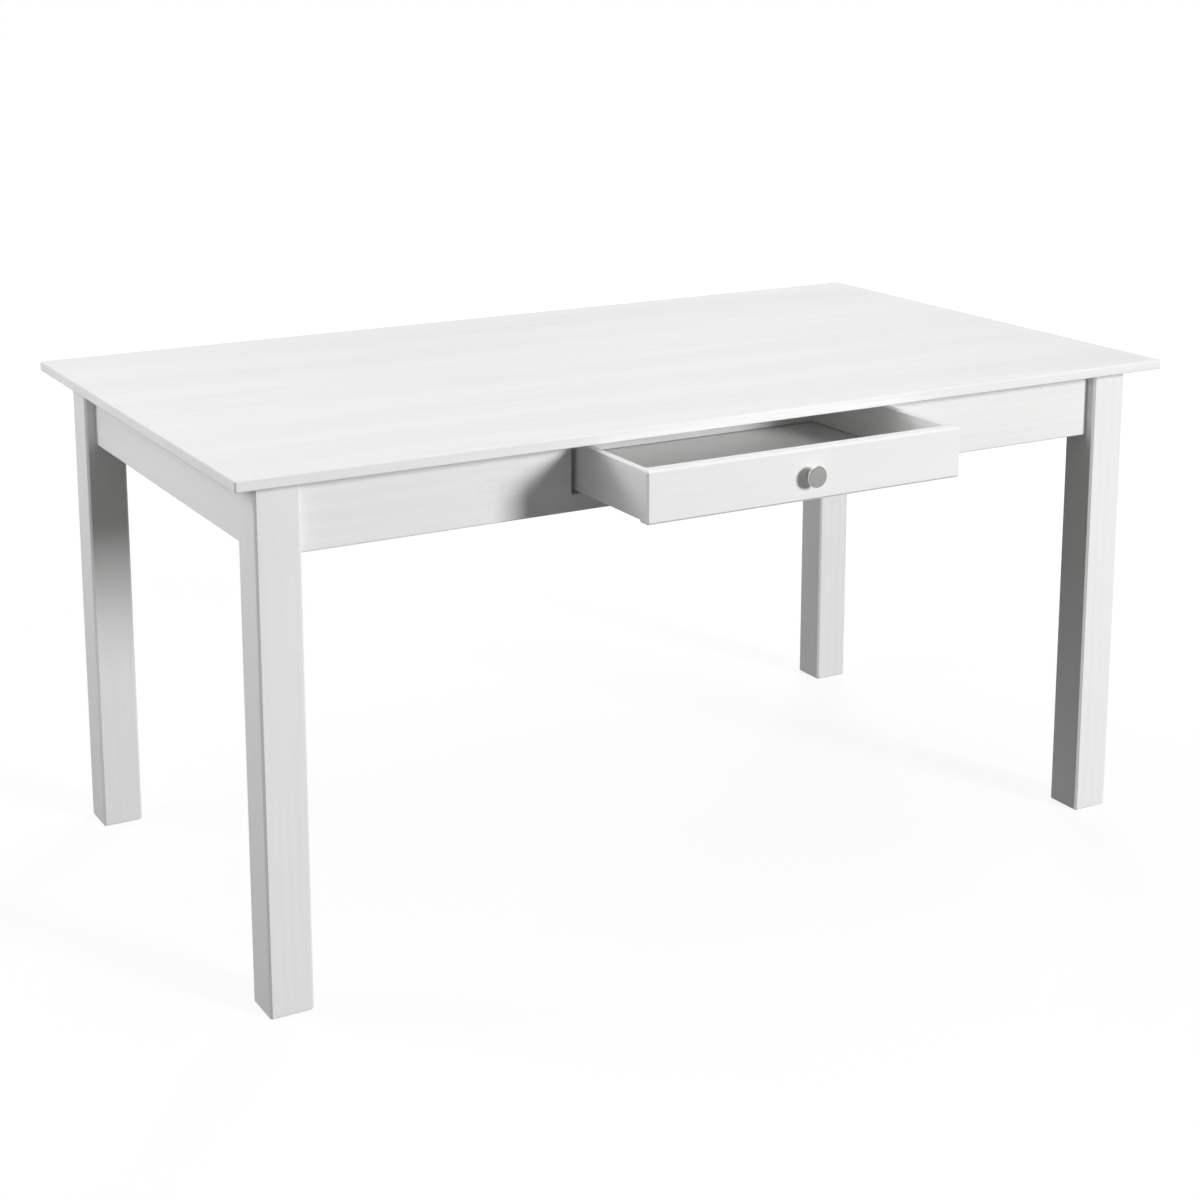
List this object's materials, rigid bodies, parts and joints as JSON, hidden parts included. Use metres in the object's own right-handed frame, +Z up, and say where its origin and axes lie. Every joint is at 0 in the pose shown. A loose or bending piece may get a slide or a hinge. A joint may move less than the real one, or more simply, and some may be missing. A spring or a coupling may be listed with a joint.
{
  "type": "dining table",
  "caption": "White painted wooden table: thin rectangular top on straight square legs with plain aprons, and a shallow drawer with a round knob that slides out of a long side.",
  "frame": {"origin": "on the floor, at the middle of the box round the table with its drawer open as pictured", "axes": "+X along the table's length, to the right as seen from the drawer's side; the drawer opens towards -Y; +Z up"},
  "size_m": [1.6, 1.062, 0.78],
  "materials": {
    "white_paint": "satin white paint over pine, faint grain showing through",
    "bare_pine": "planed bare pine",
    "beech": "plain beech dowel",
    "panel_white": "thin board with a matt white face",
    "zinc_steel": "bright zinc-plated steel",
    "satin_nickel": "satin nickel plate"
  },
  "bodies": {
    "frame": {"tabletop": "white_paint", "leg_front_left": "white_paint", "leg_front_right": "white_paint", "leg_rear_left": "white_paint", "leg_rear_right": "white_paint", "front_apron": "white_paint", "rear_apron": "white_paint", "left_apron": "white_paint", "right_apron": "white_paint", "corner_brace_front_left": "bare_pine", "corner_brace_front_right": "bare_pine", "corner_brace_rear_left": "bare_pine", "corner_brace_rear_right": "bare_pine", "cleat_front_left": "bare_pine", "cleat_front_right": "bare_pine", "cleat_rear": "bare_pine", "cleat_left": "bare_pine", "cleat_right": "bare_pine", "drawer_runner_left": "bare_pine", "drawer_runner_right": "bare_pine", "drawer_kicker_left": "bare_pine", "drawer_kicker_right": "bare_pine", "apron_dowels": "beech", "runner_dowels": "beech", "hanger_bolts": "zinc_steel", "bolt_washers": "zinc_steel", "bolt_nuts": "zinc_steel", "brace_screws": "zinc_steel", "cleat_apron_screws": "zinc_steel", "cleat_top_screws": "zinc_steel", "kicker_screws": "zinc_steel"},
    "drawer": {"drawer_front": "white_paint", "drawer_side_left": "white_paint", "drawer_side_right": "white_paint", "drawer_back": "white_paint", "drawer_bottom": "panel_white", "drawer_dowels": "beech", "drawer_bottom_nails": "zinc_steel", "drawer_knob": "satin_nickel", "knob_screw": "zinc_steel"}
  },
  "joints": [
    {"name": "drawer_slide", "type": "slide", "parent": "frame", "child": "drawer", "axis": [0, -1, 0], "range_m": [-0.2017, 0.08]}
  ]
}
